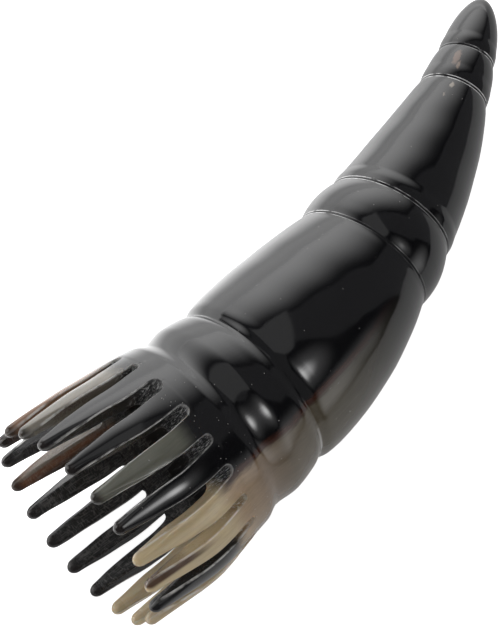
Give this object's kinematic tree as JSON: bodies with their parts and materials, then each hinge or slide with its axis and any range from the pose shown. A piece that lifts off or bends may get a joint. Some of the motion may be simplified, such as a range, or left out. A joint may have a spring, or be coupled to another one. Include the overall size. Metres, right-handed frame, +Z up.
{
  "type": "beard comb",
  "caption": "Curved, tapering comb carved from one horn, with turned grooves along the handle and a ring of long rounded teeth around its hollow mouth.",
  "frame": {"origin": "centre of the bounding box's base, on the surface that the comb lies on", "axes": "+X along the comb from the tooth tips towards the handle's tip; +Z up from the table; the comb lies on its side on the crown, the grip barrel and the tip cap, and the handle bends towards +Y"},
  "size_m": [0.1873, 0.0662, 0.0589],
  "materials": {
    "black_horn": "polished black horn, satin where sawn",
    "grey_horn": "polished translucent olive-grey horn",
    "tan_horn": "polished translucent tan horn",
    "amber_horn": "polished red-brown horn"
  },
  "bodies": {
    "root": {"tip_cap": "black_horn", "tip_bead": "black_horn", "upper_handle": "black_horn", "waist_ring": "black_horn", "grip_barrel": "black_horn", "crown_ring": "black_horn", "crown_band": "black_horn", "tooth_01": "amber_horn", "tooth_02": "amber_horn", "tooth_03": "grey_horn", "tooth_04": "black_horn", "tooth_05": "black_horn", "tooth_06": "grey_horn", "tooth_07": "black_horn", "tooth_08": "tan_horn", "tooth_09": "tan_horn", "tooth_10": "black_horn", "tooth_11": "tan_horn", "tooth_12": "tan_horn", "tooth_13": "tan_horn", "tooth_14": "black_horn", "tooth_15": "black_horn", "tooth_16": "black_horn", "tooth_17": "black_horn", "tooth_18": "amber_horn", "tooth_19": "black_horn"}
  },
  "joints": []
}
